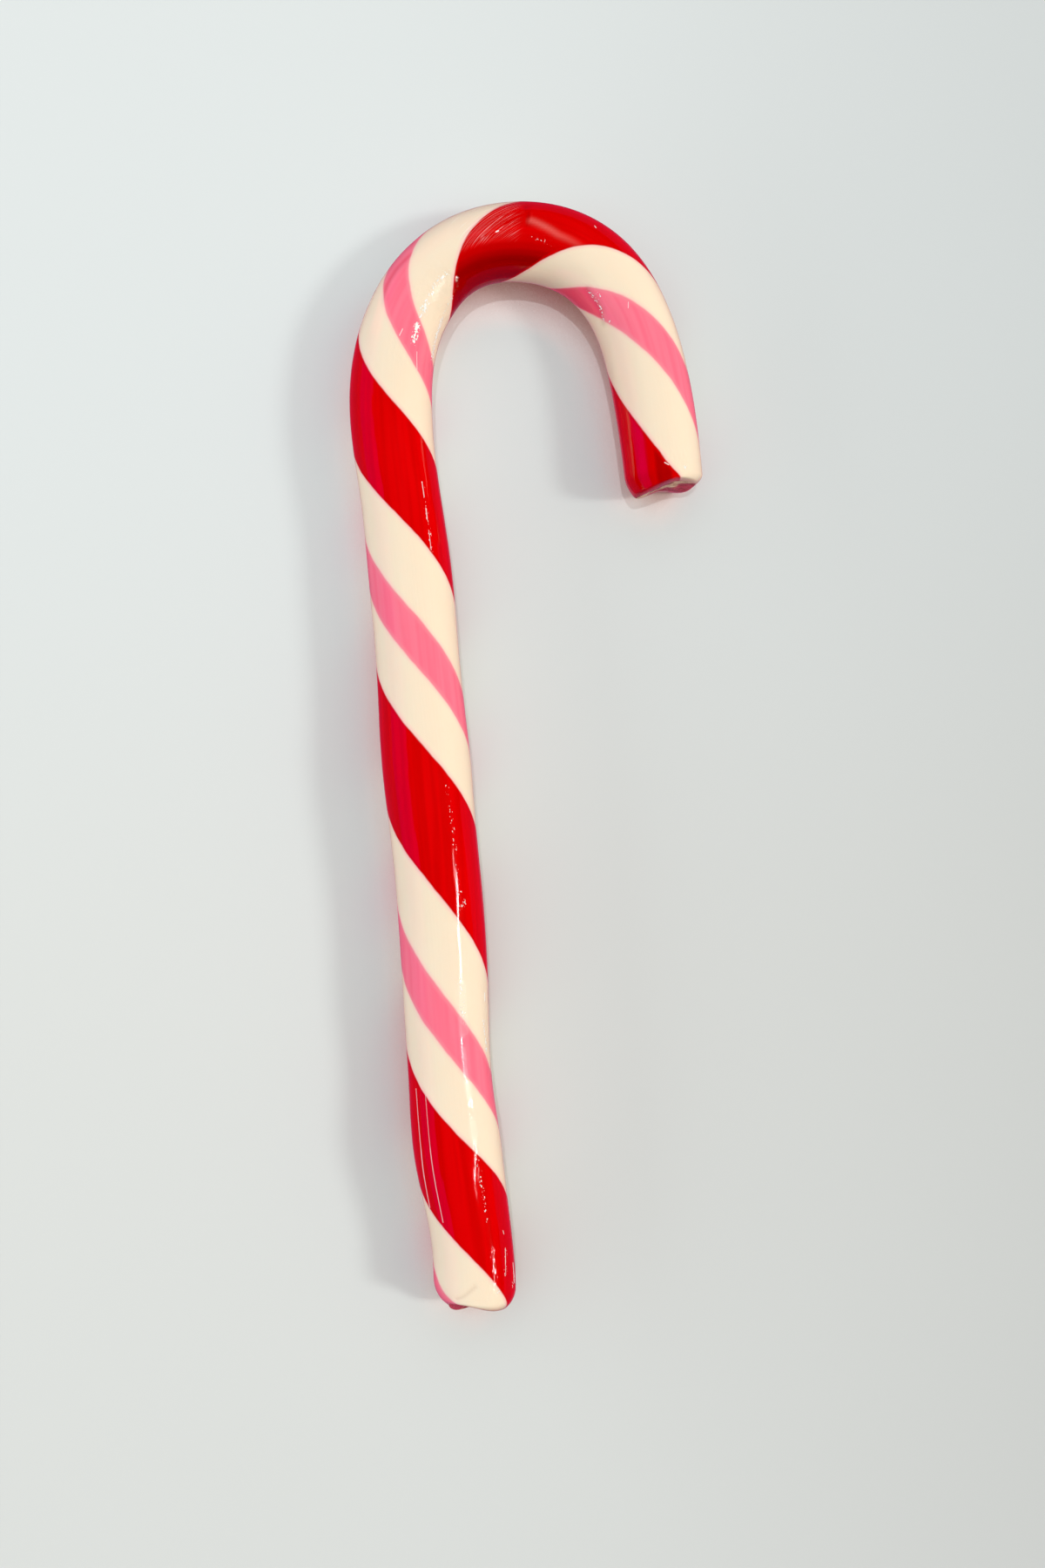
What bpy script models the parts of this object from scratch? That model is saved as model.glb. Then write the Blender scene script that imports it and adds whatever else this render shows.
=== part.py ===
"""A hand-pulled candy cane, lying on its side on the surface z = 0.

One solid: cream boiled sugar with a red and a pink stripe, twisted into a left-handed
helix, bent into a hook and cut at both ends with shears while it was still warm. Its
straight shaft runs along +Y, and the hook bends over towards +X. The origin is at the
bottom centre of its box.

The rod's centre line is worked out from how hard it bends, its skin from a radius, a bulge
under the red stripe and a slight oval that turn with the twist, and its ends from the
squeeze of the shears. A station is a distance along the centre line, from the cut at the
shaft's foot, and every length below is in millimetres until it is scaled to metres.
"""

import math

import bmesh
import bpy
import numpy as np
from mathutils import Vector

MM = 0.001

# The rod
ROD_LENGTH = 203.4
FOOT_HEADING = 6.9
RING_SPACING = 1.8
TRACE_STEP = 0.1
BLEND = 5.0
BLEND_SAMPLES = 21

# How hard the rod bends towards the hook's side: (station, degrees for each millimetre)
BEND = (
    (0, -0.77), (10, -0.73), (18, 0.09), (28, 0.29), (38, 0.18), (48, -0.08), (60, -0.06),
    (90, -0.03), (114, -0.07), (123, 0.74), (132, 1.85), (141, 2.81), (150, 4.60), (159, 2.41),
    (168, 4.07), (177, 2.41), (186, 0.85), (204, 0.12),
)
# Mean radius of the rod: (station, millimetres)
RADIUS = (
    (0, 5.60), (10, 5.62), (22, 6.08), (32, 5.75), (42, 5.93), (51, 5.89), (63, 6.00), (75, 6.10),
    (87, 5.89), (99, 5.77), (111, 5.58), (135, 5.66), (147, 5.16), (159, 5.44), (171, 5.53),
    (183, 5.39), (204, 5.39),
)
# How fast the stripes turn about the rod: (station, degrees for each millimetre)
TWIST = (
    (0, 8.47), (27, 7.46), (51, 6.52), (75, 7.01), (99, 7.18), (117, 8.07), (129, 8.84),
    (141, 9.56), (153, 8.38), (165, 8.69), (177, 7.15), (190, 6.22), (204, 6.0),
)

# Stripes: where each begins and ends round the rod, in degrees, and how many facets it takes
RED = (74.3, 209.1)
PINK = (286.5, 342.1)
FACETS = {"red": 9, "cream after red": 5, "pink": 4, "cream after pink": 6}

# The section: a bulge under the red stripe, and a slight oval, as parts of the radius
BULGE = 0.03
BULGE_TURN = -20.0
OVAL = 0.012
OVAL_TURN = -25.0

# The flat along the underside: how far above the rod's lowest line it lies, and the tray that
# left it there, in metres
FLAT_DEPTH = 0.30
TRAY_SIZE = (0.3, 0.3, 0.02)

# The ends, as the shears left them. The lips are drawn in from reach onwards, and the rod is
# flattened from the shorter nose onwards. lip is the share of its height left at the cut, and
# corners and corner_reaches narrow its outer and inner side.
# upper and lower say how far each lip is drawn in, in millimetres, from the outer side of
# the hook's plane to its inner side. The dish sinks the broken face between the lips.
FOOT_END = {
    "reach": 5.0, "nose": 1.8, "lip": 0.27, "corners": (0.62, 0.74), "corner_reaches": (5.0, 3.4),
    "upper": (2.0, 1.9, 1.5, 0.85, 0.9), "lower": (-0.4, -0.2, 0.5, 0.6, 0.2), "dish": 0.4,
}
HOOK_END = {
    "reach": 5.0, "nose": 0.5, "lip": 0.5, "corners": (0.80, 0.80), "corner_reaches": (2.0, 3.0),
    "upper": (1.3, 1.5, 1.1, 0.35, 0.0), "lower": (1.2, 0.5, 1.0, 0.6, 0.1), "dish": 0.4,
}
LIP_POSITIONS = (-1.0, -0.5, 0.0, 0.5, 1.0)
# How far the rings nearest each cut are from it
END_RINGS = (0.0, 0.1, 0.35, 0.8, 1.5)

COLOURS = {
    "cream": (0.99, 0.83, 0.63),
    "red": (0.72, 0.0, 0.004),
    "pink": (0.98, 0.22, 0.30),
}
GLOSS_ROUGHNESS = 0.12


def read_profile(profile, stations):
    """The profile at each station, its corners rounded off over BLEND either side."""
    known, values = np.array(profile, float).T
    offsets = np.linspace(-BLEND, BLEND, BLEND_SAMPLES)
    weights = 1 + np.cos(np.pi * offsets / BLEND)
    shifted = np.asarray(stations)[:, None] + offsets
    return np.interp(shifted, known, values) @ weights / weights.sum()


def summed_from_foot(rate, stations):
    """The rate added up along the rod, by the trapezium rule."""
    steps = np.diff(stations) * (rate[1:] + rate[:-1]) / 2
    return np.concatenate([[0.0], np.cumsum(steps)])


def trace_rod():
    """Place, heading, radius and twist along the rod. A heading is from +Y towards +X."""
    stations = np.arange(0, ROD_LENGTH + TRACE_STEP / 2, TRACE_STEP)
    bend = read_profile(BEND, stations)
    heading = np.radians(FOOT_HEADING + summed_from_foot(bend, stations))
    return {
        "station": stations,
        "x": summed_from_foot(np.sin(heading), stations),
        "y": summed_from_foot(np.cos(heading), stations),
        "heading": heading,
        "radius": read_profile(RADIUS, stations),
        "twist": np.radians(summed_from_foot(read_profile(TWIST, stations), stations)),
    }


def facet_angles():
    """Angles round the section, with a corner on each edge of each stripe, and their colours."""
    edges = (RED[0], RED[1], PINK[0], PINK[1], RED[0] + 360)
    angles = []
    colours = []
    for colour, count, start, end in zip(FACETS, FACETS.values(), edges, edges[1:]):
        angles.extend(np.linspace(start, end, count, endpoint=False))
        colours.extend([colour.split()[0]] * count)
    return np.radians(angles), colours


def section_radius(radius, angles):
    """The radius at each angle of the twisting section."""
    middle_of_red = math.radians(sum(RED) / 2)
    bulge = BULGE * np.cos(angles - middle_of_red - math.radians(BULGE_TURN))
    oval = OVAL * np.cos(2 * (angles - middle_of_red - math.radians(OVAL_TURN)))
    return radius * (1 + bulge + oval)


def lip_curve(drawn_in, across):
    """How far a lip is drawn in at a place across it, on a smooth curve through its five values."""
    return np.polyval(np.polyfit(LIP_POSITIONS, drawn_in, len(drawn_in) - 1), across)


def squeeze(side, up, distance, radius, end):
    """The section as the shears left it, and how far each of its points is drawn in from the cut."""
    nose = math.sqrt(1 - (1 - min(distance / end["nose"], 1.0)) ** 2)
    outer, inner = (
        1 - (1 - corner) * (1 - min(distance / reach, 1.0)) ** 2
        for corner, reach in zip(end["corners"], end["corner_reaches"])
    )
    across = side / radius
    share_of_upper = (1 + up / radius) / 2
    side = side * (outer + (inner - outer) * (1 + across) / 2)
    up = up * (end["lip"] + (1 - end["lip"]) * nose)
    upper = lip_curve(end["upper"], across)
    lower = lip_curve(end["lower"], across)
    fade = max(0.0, 1 - distance / end["reach"]) ** 2
    return side, up, fade * (lower + (upper - lower) * share_of_upper)


def ring_points(rod, station, angles):
    """The points of one ring of the skin."""
    at = {name: np.interp(station, rod["station"], values) for name, values in rod.items()}
    reach = section_radius(at["radius"], angles)
    side = reach * np.sin(angles - at["twist"])
    up = reach * np.cos(angles - at["twist"])
    side, up, from_foot = squeeze(side, up, station, at["radius"], FOOT_END)
    side, up, from_hook = squeeze(side, up, ROD_LENGTH - station, at["radius"], HOOK_END)
    along = from_foot - from_hook
    x = at["x"] + side * math.cos(at["heading"]) + along * math.sin(at["heading"])
    y = at["y"] - side * math.sin(at["heading"]) + along * math.cos(at["heading"])
    return np.column_stack([x, y, at["radius"] - FLAT_DEPTH + up])


def ring_stations():
    """Stations of the rings: even along the rod, and closer where the ends round over."""
    first, last = END_RINGS[-1] + RING_SPACING, ROD_LENGTH - END_RINGS[-1] - RING_SPACING
    inner = np.linspace(first, last, round((last - first) / RING_SPACING) + 1)
    return [*END_RINGS, *inner, *(ROD_LENGTH - distance for distance in reversed(END_RINGS))]


def skin_rings():
    """Every ring of the skin, set down with the box's bottom centre at the origin."""
    rod = trace_rod()
    angles, _ = facet_angles()
    rings = np.array([ring_points(rod, station, angles) for station in ring_stations()])
    flat = rings.reshape(-1, 3)
    rings[..., :2] -= (flat[:, :2].max(axis=0) + flat[:, :2].min(axis=0)) / 2
    return rings * MM


def new_material(name, colour):
    material = bpy.data.materials.new(name)
    material.use_nodes = True
    shader = material.node_tree.nodes["Principled BSDF"]
    shader.inputs["Base Color"].default_value = (*colour, 1.0)
    shader.inputs["Roughness"].default_value = GLOSS_ROUGHNESS
    shader.inputs["Metallic"].default_value = 0.0
    material.diffuse_color = (*colour, 1.0)
    return material


def middle_of(ring):
    return sum((vertex.co for vertex in ring), Vector()) / len(ring)


def close_end(mesh, ring, inner_ring, dish):
    """Close one end with a fan about a centre that is sunk into the rod by the dish."""
    into_rod = (middle_of(inner_ring) - middle_of(ring)).normalized()
    centre = mesh.verts.new(middle_of(ring) + into_rod * dish)
    for first, second in zip(ring, ring[1:] + ring[:1]):
        mesh.faces.new((first, second, centre))


def build_cane(collection):
    """The cane as a loft between its rings, with the stripes' colours on its facets."""
    _, colours = facet_angles()
    mesh = bmesh.new()
    rings = [[mesh.verts.new(point) for point in ring] for ring in skin_rings()]
    for lower, upper in zip(rings, rings[1:]):
        for index, colour in enumerate(colours):
            beside = (index + 1) % len(colours)
            face = mesh.faces.new((lower[index], lower[beside], upper[beside], upper[index]))
            face.material_index = list(COLOURS).index(colour)
            face.smooth = True
    inward = len(END_RINGS) - 1
    close_end(mesh, rings[0], rings[inward], FOOT_END["dish"] * MM)
    close_end(mesh, rings[-1], rings[-1 - inward], HOOK_END["dish"] * MM)
    bmesh.ops.recalc_face_normals(mesh, faces=mesh.faces)
    data = bpy.data.meshes.new("candy_cane")
    mesh.to_mesh(data)
    mesh.free()
    for name, colour in COLOURS.items():
        data.materials.append(new_material(name, colour))
    cane = bpy.data.objects.new("candy_cane", data)
    collection.objects.link(cane)
    return cane


def build_tray(collection):
    """A slab whose top is the surface that the warm cane was laid on. It cuts the flat."""
    bpy.ops.mesh.primitive_cube_add(size=1.0)
    tray = bpy.context.object
    tray.name = "tray_cutter"
    tray.scale = TRAY_SIZE
    tray.location = (0.0, 0.0, -TRAY_SIZE[2] / 2)
    for linked in list(tray.users_collection):
        linked.objects.unlink(tray)
    collection.objects.link(tray)
    tray.display_type = "WIRE"
    tray.hide_render = True
    return tray


def new_collection(name):
    collection = bpy.data.collections.new(name)
    bpy.context.scene.collection.children.link(collection)
    return collection


def main():
    for leftover in list(bpy.data.objects):
        bpy.data.objects.remove(leftover)
    cane = build_cane(new_collection("candy cane"))
    flat = cane.modifiers.new("flat underside", "BOOLEAN")
    flat.operation = "DIFFERENCE"
    flat.solver = "EXACT"
    flat.object = build_tray(new_collection("cutters"))


main()
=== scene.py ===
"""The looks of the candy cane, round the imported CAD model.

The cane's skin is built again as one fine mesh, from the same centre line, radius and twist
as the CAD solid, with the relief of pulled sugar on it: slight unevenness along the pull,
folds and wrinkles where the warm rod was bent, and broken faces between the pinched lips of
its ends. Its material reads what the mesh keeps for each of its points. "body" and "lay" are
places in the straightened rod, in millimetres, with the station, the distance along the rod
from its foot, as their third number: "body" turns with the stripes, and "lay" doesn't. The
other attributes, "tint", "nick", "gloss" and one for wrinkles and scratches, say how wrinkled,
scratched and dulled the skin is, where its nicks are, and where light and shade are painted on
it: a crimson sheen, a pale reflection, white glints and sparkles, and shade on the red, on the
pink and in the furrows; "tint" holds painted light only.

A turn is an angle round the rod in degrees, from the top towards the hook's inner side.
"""
import math

import bpy
import numpy as np
from mathutils import Euler, Matrix, Vector, noise


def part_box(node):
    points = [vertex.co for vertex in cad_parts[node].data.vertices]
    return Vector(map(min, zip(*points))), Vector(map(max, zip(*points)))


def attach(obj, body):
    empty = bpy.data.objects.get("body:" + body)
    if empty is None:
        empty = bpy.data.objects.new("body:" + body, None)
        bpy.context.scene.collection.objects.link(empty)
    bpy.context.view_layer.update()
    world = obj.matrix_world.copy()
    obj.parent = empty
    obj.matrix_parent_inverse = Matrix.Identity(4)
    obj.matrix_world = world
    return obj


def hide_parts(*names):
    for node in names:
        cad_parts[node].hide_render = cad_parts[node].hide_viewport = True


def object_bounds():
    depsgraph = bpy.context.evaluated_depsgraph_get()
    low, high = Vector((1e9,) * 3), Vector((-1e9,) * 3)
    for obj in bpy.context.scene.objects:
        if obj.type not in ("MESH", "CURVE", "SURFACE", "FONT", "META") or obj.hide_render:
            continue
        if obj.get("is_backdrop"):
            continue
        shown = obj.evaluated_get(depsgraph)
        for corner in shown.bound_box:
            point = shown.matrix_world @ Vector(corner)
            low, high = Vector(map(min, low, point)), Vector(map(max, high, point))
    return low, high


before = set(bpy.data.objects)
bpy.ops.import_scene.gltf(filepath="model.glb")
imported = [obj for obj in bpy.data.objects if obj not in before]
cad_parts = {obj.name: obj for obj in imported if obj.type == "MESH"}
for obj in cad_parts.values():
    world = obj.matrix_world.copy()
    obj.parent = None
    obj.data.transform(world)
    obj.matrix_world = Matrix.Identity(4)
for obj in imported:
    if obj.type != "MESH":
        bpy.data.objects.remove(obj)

CAD_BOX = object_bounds()
NODE = "candy_cane"
MM = 0.001

# ---------------------------------------------------------------- the rod, as in the CAD model

ROD_LENGTH = 203.4
FOOT_HEADING = 6.9
TRACE_STEP = 0.1
BLEND = 5.0
BLEND_SAMPLES = 21
BEND = (
    (0, -0.77), (10, -0.73), (18, 0.09), (28, 0.29), (38, 0.18), (48, -0.08), (60, -0.06),
    (90, -0.03), (114, -0.07), (123, 0.74), (132, 1.85), (141, 2.81), (150, 4.60), (159, 2.41),
    (168, 4.07), (177, 2.41), (186, 0.85), (204, 0.12),
)
RADIUS = (
    (0, 5.60), (10, 5.62), (22, 6.08), (32, 5.75), (42, 5.93), (51, 5.89), (63, 6.00), (75, 6.10),
    (87, 5.89), (99, 5.77), (111, 5.58), (135, 5.66), (147, 5.16), (159, 5.44), (171, 5.53),
    (183, 5.39), (204, 5.39),
)
TWIST = (
    (0, 8.47), (27, 7.46), (51, 6.52), (75, 7.01), (99, 7.18), (117, 8.07), (129, 8.84),
    (141, 9.56), (153, 8.38), (165, 8.69), (177, 7.15), (190, 6.22), (204, 6.0),
)
# Where each stripe begins and ends round the body, in degrees
RED = (74.3, 209.1)
PINK = (286.5, 342.1)
BULGE = 0.03
BULGE_TURN = -20.0
OVAL = 0.012
OVAL_TURN = -25.0
FLAT_DEPTH = 0.30
FOOT_END = {
    "reach": 5.0, "nose": 1.8, "lip": 0.27, "corners": (0.62, 0.74), "corner_reaches": (5.0, 3.4),
    "upper": (2.0, 1.9, 1.5, 0.85, 0.9), "lower": (-0.4, -0.2, 0.5, 0.6, 0.2), "dish": 0.4,
}
HOOK_END = {
    "reach": 5.0, "nose": 0.5, "lip": 0.5, "corners": (0.80, 0.80), "corner_reaches": (2.0, 3.0),
    "upper": (1.3, 1.5, 1.1, 0.35, 0.0), "lower": (1.2, 0.5, 1.0, 0.6, 0.1), "dish": 0.4,
}
LIP_POSITIONS = (-1.0, -0.5, 0.0, 0.5, 1.0)

# ---------------------------------------------------------------- the fine mesh

# How far apart the rings are, the points in each, and how finely each end's rounding and each
# broken face are divided
RING_SPACING = 0.4
POINTS_ROUND = 120
END_STEPS = 26
CUT_RINGS = 12


def read_profile(profile, stations):
    """The profile at each station, its corners rounded off over BLEND either side."""
    known, values = np.array(profile, float).T
    offsets = np.linspace(-BLEND, BLEND, BLEND_SAMPLES)
    weights = 1 + np.cos(np.pi * offsets / BLEND)
    shifted = np.asarray(stations)[:, None] + offsets
    return np.interp(shifted, known, values) @ weights / weights.sum()


def summed_from_foot(rate, stations):
    """The rate added up along the rod, by the trapezium rule."""
    steps = np.diff(stations) * (rate[1:] + rate[:-1]) / 2
    return np.concatenate([[0.0], np.cumsum(steps)])


def trace_rod():
    """Place, heading, radius and twist along the rod. A heading is from +Y towards +X."""
    stations = np.arange(0, ROD_LENGTH + TRACE_STEP / 2, TRACE_STEP)
    bend = read_profile(BEND, stations)
    heading = np.radians(FOOT_HEADING + summed_from_foot(bend, stations))
    return {
        "station": stations,
        "x": summed_from_foot(np.sin(heading), stations),
        "y": summed_from_foot(np.cos(heading), stations),
        "heading": heading,
        "radius": read_profile(RADIUS, stations),
        "twist": np.radians(summed_from_foot(read_profile(TWIST, stations), stations)),
    }


def section_radius(radius, angles):
    """The radius at each angle of the twisting section."""
    middle_of_red = math.radians(sum(RED) / 2)
    bulge = BULGE * np.cos(angles - middle_of_red - math.radians(BULGE_TURN))
    oval = OVAL * np.cos(2 * (angles - middle_of_red - math.radians(OVAL_TURN)))
    return radius * (1 + bulge + oval)


def lip_curve(drawn_in, across):
    """How far a lip is drawn in at a place across it, on a smooth curve through its values."""
    return np.polyval(np.polyfit(LIP_POSITIONS, drawn_in, len(drawn_in) - 1), across)


def squeeze(side, up, distance, radius, end):
    """The section as the shears left it, and how far its points are drawn in from the cut."""
    nose = np.sqrt(1 - (1 - np.minimum(distance / end["nose"], 1.0)) ** 2)
    outer, inner = (
        1 - (1 - corner) * (1 - np.minimum(distance / reach, 1.0)) ** 2
        for corner, reach in zip(end["corners"], end["corner_reaches"])
    )
    across = side / radius
    share_of_upper = (1 + up / radius) / 2
    side = side * (outer + (inner - outer) * (1 + across) / 2)
    up = up * (end["lip"] + (1 - end["lip"]) * nose)
    upper = lip_curve(end["upper"], across)
    lower = lip_curve(end["lower"], across)
    fade = np.maximum(0.0, 1 - distance / end["reach"]) ** 2
    return side, up, fade * (lower + (upper - lower) * share_of_upper)


def ring_stations():
    """Stations of the rings: even along the rod, and closer where the ends round over."""
    reach = FOOT_END["reach"]
    turn = np.linspace(0, math.pi / 2, END_STEPS + 1)
    end = reach * (1 - np.cos(turn))
    count = round((ROD_LENGTH - 2 * reach) / RING_SPACING)
    middle = np.linspace(reach, ROD_LENGTH - reach, count + 1)[1:-1]
    return np.concatenate([end, middle, ROD_LENGTH - end[::-1]])


def noise_field(points, size, seed):
    """Smooth noise, about -1 to 1, over points in millimetres. size is its grain on each axis."""
    scaled = points / np.asarray(size, float) + seed
    flat = [noise.noise(Vector(point)) for point in scaled.reshape(-1, 3)]
    return np.array(flat).reshape(points.shape[:-1])


def straight_coordinates(radius, angles, stations):
    """Places in the straightened rod: across it, up through it, and along it."""
    return np.stack(
        [radius * np.sin(angles), radius * np.cos(angles), stations + 0 * angles], axis=-1
    )


def eased(value, low, high):
    """Zero at low, one at high, and a smooth rise between."""
    share = np.clip((value - low) / (high - low), 0.0, 1.0)
    return share * share * (3 - 2 * share)


def window(value, low, high, soft):
    """One between low and high, easing to zero over soft outside them."""
    return eased(value, low - soft, low) * (1 - eased(value, high, high + soft))


def in_areas(stations, turn, areas):
    """How strongly each place is in some areas. An area is a strength, a span of stations and a
    span of turns, and a span is its low end, its high end and how softly it ends."""
    return sum(
        strength * window(stations, *along) * window(turn, *around)
        for strength, along, around in areas
    )


# The rod's radius where lines are laid out on it, and 4 ln 2, for how they fade beside them
LINE_RADIUS = 5.5
HALF_AT_HALF_WIDTH = 2.77


def away_from_line(stations, turn, line):
    """How far each place is from a line of (station, turn) corners, in millimetres."""
    place = np.stack([stations + 0 * turn, np.radians(turn) * LINE_RADIUS], axis=-1)
    corners = [
        np.array([station, math.radians(degrees) * LINE_RADIUS]) for station, degrees in line
    ]
    nearest = np.full(place.shape[:-1], np.inf)
    for start, end in zip(corners, corners[1:]):
        way = end - start
        share = np.clip((place - start) @ way / (way @ way), 0.0, 1.0)
        gap = np.linalg.norm(place - start - share[..., None] * way, axis=-1)
        nearest = np.minimum(nearest, gap)
    return nearest


def on_line(stations, turn, line, width):
    """One on a line, fading beside it. Half is left at half the width."""
    return np.exp(-HALF_AT_HALF_WIDTH * (away_from_line(stations, turn, line) / width) ** 2)


# A fold in the pink at the left of the hook, and how dark and how wide the shade painted along it
# is
LEFT_FOLD = ((145.2, -40), (142.6, -46), (140.4, -44), (138.0, -38))
LEFT_FOLD_SHADE = 0.6
LEFT_FOLD_WIDTH = 0.7
# Folds that the bending left in the skin: height, which is below zero for a furrow, width, how
# much shade is painted along it, and corners, each a station and a turn
FOLDS = (
    (-0.16, 0.9, 0.4, ((171.8, 40), (173.4, 43), (175.8, 42), (178.0, 53))),
    (0.10, 1.6, 0.0, ((172.5, 30), (175.0, 30), (177.5, 38))),
    (-0.09, 0.6, 0.0, LEFT_FOLD),
    (-0.13, 0.45, 0.6, ((159.3, -44), (159.8, -10))),
    (0.07, 1.7, 0.0, ((160.2, -17), (163.8, -5), (167.0, -3))),
    (-0.12, 0.5, 0.3, ((2.6, -26), (3.2, -14), (4.8, 4))),
    (0.08, 1.5, 0.0, ((182.0, 53), (186.2, 60))),
    (-0.05, 0.7, 0.0, ((154.0, 2), (156.4, -4))),
)
# The width of the painted shade along a fold, as a share of the fold's width
SHADE_SHARE_OF_WIDTH = 0.8
# Areas of the skin, as in_areas reads them: finely wrinkled, scratched, and with painted shade at
# the tip
WRINKLED = (
    (1.0, (131.5, 146.5, 1.5), (4.0, 84.0, 14.0)), (0.7, (171.0, 178.5, 1.5), (25.0, 55.0, 14.0)),
    (0.45, (2.5, 9.0, 1.5), (22.0, 78.0, 14.0)), (0.8, (33.0, 45.0, 1.5), (52.0, 82.0, 14.0)),
    (0.08, (38.0, 46.0, 1.5), (14.0, 34.0, 14.0)), (0.08, (13.0, 31.0, 1.5), (16.0, 36.0, 14.0)),
    (0.5, (198.0, 203.0, 1.5), (-40.0, -10.0, 14.0)),
)
SCRATCHED = ((1.0, (151.0, 157.6, 1.5), (-60.0, 2.0, 14.0)),)
SHADED_TIP = ((0.25, (201.6, 204.0, 1.4), (0.0, 90.0, 12.0)),)
# Where a crimson sheen, a painted reflection, lies on the red: at the tip and on the crown's left
PAINTED_SHEEN_AREAS = (
    (0.8, (194.0, 199.5, 4.0), (34.0, 36.0, 13.0)),
    (0.5, (143.0, 150.0, 6.0), (-40.0, -8.0, 20.0)),
)
# Where shade is painted on the red: under the crown and beside the tip's painted sheen
PAINTED_RED_SHADE_AREAS = (
    (1.0, (140.0, 163.0, 7.0), (45.0, 120.0, 45.0)),
    (0.6, (198.5, 204.0, 2.0), (-4.0, 12.0, 8.0)),
)
# Where the gloss along the shaft's inner side is dulled
DULLED = (
    (0.6, (25.0, 27.2, 0.8), (24.0, 30.0, 9.0)), (0.5, (30.6, 32.2, 0.8), (24.0, 30.0, 9.0)),
    (0.35, (33.6, 37.2, 0.8), (24.0, 30.0, 9.0)), (0.7, (39.2, 45.8, 0.8), (24.0, 30.0, 9.0)),
)
# A flattened place on the hook's inner side, where shade is painted on its pink: its upper edge,
# how softly it begins past that edge, its stations, the turn where it ends, and how dark it is
PINK_SHADE_EDGE = ((166.0, 34), (171.8, 40), (173.4, 43), (175.8, 41), (177.2, 50), (180.0, 66))
PINK_SHADE_RISE = (-1.5, 3.0)
PINK_SHADE_STATIONS = (160.0, 176.5, 1.8)
PINK_SHADE_END_TURN = 130
PINK_SHADE_SHARE = 0.8
# A painted reflection, a pale streak along the crown: corners, width, the stations where it fades,
# and how much
PAINTED_REFLECTION_STREAK = ((160.1, -17), (163.8, -5), (167.0, -3))
REFLECTION_STREAK_WIDTH = 0.65
REFLECTION_STREAK_FADE = (161.5, 168.0)
REFLECTION_STREAK_FADED = 0.7


def pink_painted_shade(stations, turn):
    """Where shade is painted on the pink: beside the fold in the hook's leg, and along the one on
    its left.
    """
    edge_stations, edge_turns = np.array(PINK_SHADE_EDGE, float).T
    past_edge = eased(turn - np.interp(stations, edge_stations, edge_turns), *PINK_SHADE_RISE)
    beside_fold = window(stations, *PINK_SHADE_STATIONS) * past_edge * (turn < PINK_SHADE_END_TURN)
    line = on_line(stations, turn, LEFT_FOLD, LEFT_FOLD_WIDTH)
    return np.maximum(PINK_SHADE_SHARE * beside_fold, LEFT_FOLD_SHADE * line)


def shading(stations, turn):
    """Painted shade, which darkens all the colours: in the furrows, and at the tip where it rounds
    over.
    """
    furrows = sum(
        dark * on_line(stations, turn, line, width * SHADE_SHARE_OF_WIDTH)
        for _, width, dark, line in FOLDS
    )
    return np.clip(in_areas(stations, turn, SHADED_TIP) + furrows, 0.0, 1.0)


def red_painted_sheen_and_shade(stations, turn):
    """Above zero where a crimson sheen is painted on the red as a reflection, below zero where
    shade is painted on it.
    """
    return in_areas(stations, turn, PAINTED_SHEEN_AREAS) - in_areas(stations, turn, PAINTED_RED_SHADE_AREAS)


def painted_reflection_streak(stations, turn):
    """Where the crown has its painted reflection, a pale streak, sharp at its start and soft at
    its end.
    """
    left = 1 - REFLECTION_STREAK_FADED * eased(stations, *REFLECTION_STREAK_FADE)
    return on_line(stations, turn, PAINTED_REFLECTION_STREAK, REFLECTION_STREAK_WIDTH) * left


# The rod's radius where nicks are laid out, how far a nick is felt, and the half length given
# to places beyond that, which takes them off every nick
NICK_RADIUS = 5.7
NICK_REACH = 0.65
OUT_OF_REACH = -1000.0
# Nicks and drawn lines, raised as nicks and whitened as painted glints: start and end, each a
# station and a turn, a width and how bright
NICKS_AND_PAINTED_GLINTS = (
    ((155.5, -1.0), (155.8, -2.0), 0.24, 0.9),
    ((44.2, 70.0), (43.2, 70.0), 0.30, 0.9),
    ((9.2, 54.0), (7.2, 52.0), 0.15, 0.7),
    ((7.0, 52.0), (5.8, 51.5), 0.12, 0.5),
    ((6.8, 73.5), (4.6, 74.5), 0.30, 0.9),
    ((4.1, 68.0), (3.8, 69.0), 0.18, 0.6),
    ((11.5, 53.0), (11.1, 54.0), 0.18, 0.6),
    ((24.0, 25.0), (22.6, 28.0), 0.16, 0.5),
    ((178.2, 38.0), (178.3, 40.0), 0.24, 0.7),
    ((177.9, 5.0), (177.2, 1.0), 0.12, 0.6),
    ((167.3, -46.0), (167.5, -44.0), 0.18, 0.7),
    ((199.8, 2.0), (200.2, -3.0), 0.20, 0.7),
    ((137.0, 25.5), (136.2, 27.0), 0.50, 1.0),
    ((133.0, 36.0), (130.4, 40.0), 0.13, 0.6),
    ((135.6, 8.0), (134.6, 6.0), 0.16, 0.6),
    ((145.6, 23.0), (145.1, 25.0), 0.28, 0.8),
    ((139.6, 69.0), (138.4, 71.0), 0.22, 0.8),
    ((137.4, 70.0), (136.0, 72.0), 0.20, 0.8),
    ((135.2, 69.0), (134.4, 71.0), 0.20, 0.8),
    ((114.2, 36.0), (112.2, 36.5), 0.16, 0.6),
    ((110.6, 37.0), (109.2, 37.0), 0.20, 0.6),
    ((107.6, 37.5), (105.0, 38.0), 0.13, 0.5),
    ((32.0, -55.0), (24.0, -52.0), 0.20, 0.4),
    ((24.0, -52.0), (16.0, -54.0), 0.24, 0.5),
    ((31.2, -37.0), (24.2, -35.5), 0.14, 0.35),
    ((24.2, -35.5), (14.0, -33.0), 0.17, 0.45),
)
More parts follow.
